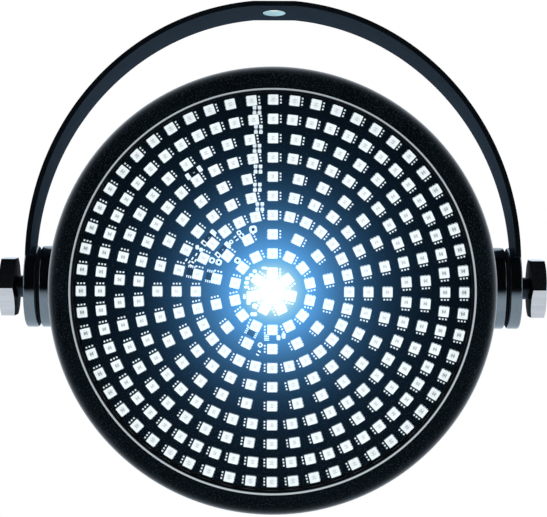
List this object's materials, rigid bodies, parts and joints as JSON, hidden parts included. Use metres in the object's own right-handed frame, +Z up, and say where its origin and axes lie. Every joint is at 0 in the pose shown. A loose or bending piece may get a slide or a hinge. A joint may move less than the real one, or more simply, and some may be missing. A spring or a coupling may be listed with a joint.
{
  "type": "strobe light",
  "caption": "Round stage strobe light: rings of square light packages in a moulded housing that tilts in a bent yoke with hex hand knobs.",
  "frame": {"origin": "centre of the yoke's bolt hole on the yoke's top face", "axes": "+X to the right seen from the lit front, +Y from the lit front to the back, +Z up; the yoke hangs upright and the head leans 11.2 degrees down"},
  "size_m": [0.262, 0.1036, 0.2484],
  "materials": {
    "yoke": "satin black",
    "friction": "matte",
    "screw": "zinc plated",
    "collar": "satin",
    "knob": "polished",
    "insert": "plain",
    "bezel": "finely textured black",
    "lens": "clear",
    "gasket": "matte",
    "led_board": "white packages on a dark board",
    "retainer": "plain",
    "shell": "finely textured black",
    "panel": "satin",
    "display": "dark red, glossy",
    "display_module": "plain",
    "circuit_board": "green board",
    "button": "satin",
    "microphone": "plain",
    "socket": "satin black",
    "winding": "yellow taped",
    "capacitor": "blue sleeve",
    "heatsink": "plain"
  },
  "bodies": {
    "yoke": {"yoke": "yoke", "friction_disc_left": "friction", "friction_disc_right": "friction", "washer_left": "screw", "washer_right": "screw"},
    "head": {"case_screw_1": "screw", "case_screw_2": "screw", "case_screw_3": "screw", "case_screw_4": "screw", "case_screw_5": "screw", "case_screw_6": "screw", "socket_screw_1": "screw", "socket_screw_2": "screw", "socket_screw_3": "screw", "socket_screw_4": "screw", "socket_screw_5": "screw", "socket_screw_6": "screw", "driver_screw_1": "screw", "driver_screw_2": "screw", "driver_screw_3": "screw", "driver_screw_4": "screw", "control_screw_1": "screw", "control_screw_2": "screw", "pivot_insert_left": "insert", "pivot_insert_right": "insert", "front_bezel": "bezel", "front_lens": "lens", "lens_gasket": "gasket", "led_board": "led_board", "board_retainer": "retainer", "rear_shell": "shell", "control_panel": "panel", "display_window": "display", "display_module": "display_module", "control_board": "circuit_board", "driver_board": "circuit_board", "microphone": "microphone", "signal_in_socket": "socket", "signal_out_socket": "socket", "power_inlet": "socket", "transformer": "winding", "mains_choke": "winding", "capacitor_1": "capacitor", "capacitor_2": "capacitor", "driver_heatsink": "heatsink"},
    "left_knob": {"knob_left": "knob", "knob_collar_left": "collar", "knob_stud_left": "screw"},
    "right_knob": {"knob_right": "knob", "knob_collar_right": "collar", "knob_stud_right": "screw"},
    "menu_button": {"button_menu": "button"},
    "down_button": {"button_down": "button"},
    "up_button": {"button_up": "button"},
    "enter_button": {"button_enter": "button"},
    "latch": {"signal_out_latch": "button"}
  },
  "joints": [
    {"name": "head_tilt", "type": "hinge", "parent": "yoke", "child": "head", "pos_m": [0, 0, -0.1389], "axis": [1, 0, 0], "range_deg": [-101, 79]},
    {"name": "left_knob_turn", "type": "hinge", "parent": "yoke", "child": "left_knob", "pos_m": [0, 0, -0.1389], "axis": [1, 0, 0], "continuous": true},
    {"name": "right_knob_turn", "type": "hinge", "parent": "yoke", "child": "right_knob", "pos_m": [0, 0, -0.1389], "axis": [1, 0, 0], "continuous": true},
    {"name": "menu_button_press", "type": "slide", "parent": "head", "child": "menu_button", "axis": [0, -0.981, -0.1942], "range_m": [0, 0.0008], "stiffness_N_per_m": 600, "springref_m": -0.0005},
    {"name": "down_button_press", "type": "slide", "parent": "head", "child": "down_button", "axis": [0, -0.981, -0.1942], "range_m": [0, 0.0008], "stiffness_N_per_m": 600, "springref_m": -0.0005},
    {"name": "up_button_press", "type": "slide", "parent": "head", "child": "up_button", "axis": [0, -0.981, -0.1942], "range_m": [0, 0.0008], "stiffness_N_per_m": 600, "springref_m": -0.0005},
    {"name": "enter_button_press", "type": "slide", "parent": "head", "child": "enter_button", "axis": [0, -0.981, -0.1942], "range_m": [0, 0.0008], "stiffness_N_per_m": 600, "springref_m": -0.0005},
    {"name": "latch_press", "type": "slide", "parent": "head", "child": "latch", "axis": [0, -0.981, -0.1942], "range_m": [0, 0.001], "stiffness_N_per_m": 600, "springref_m": -0.0005}
  ]
}
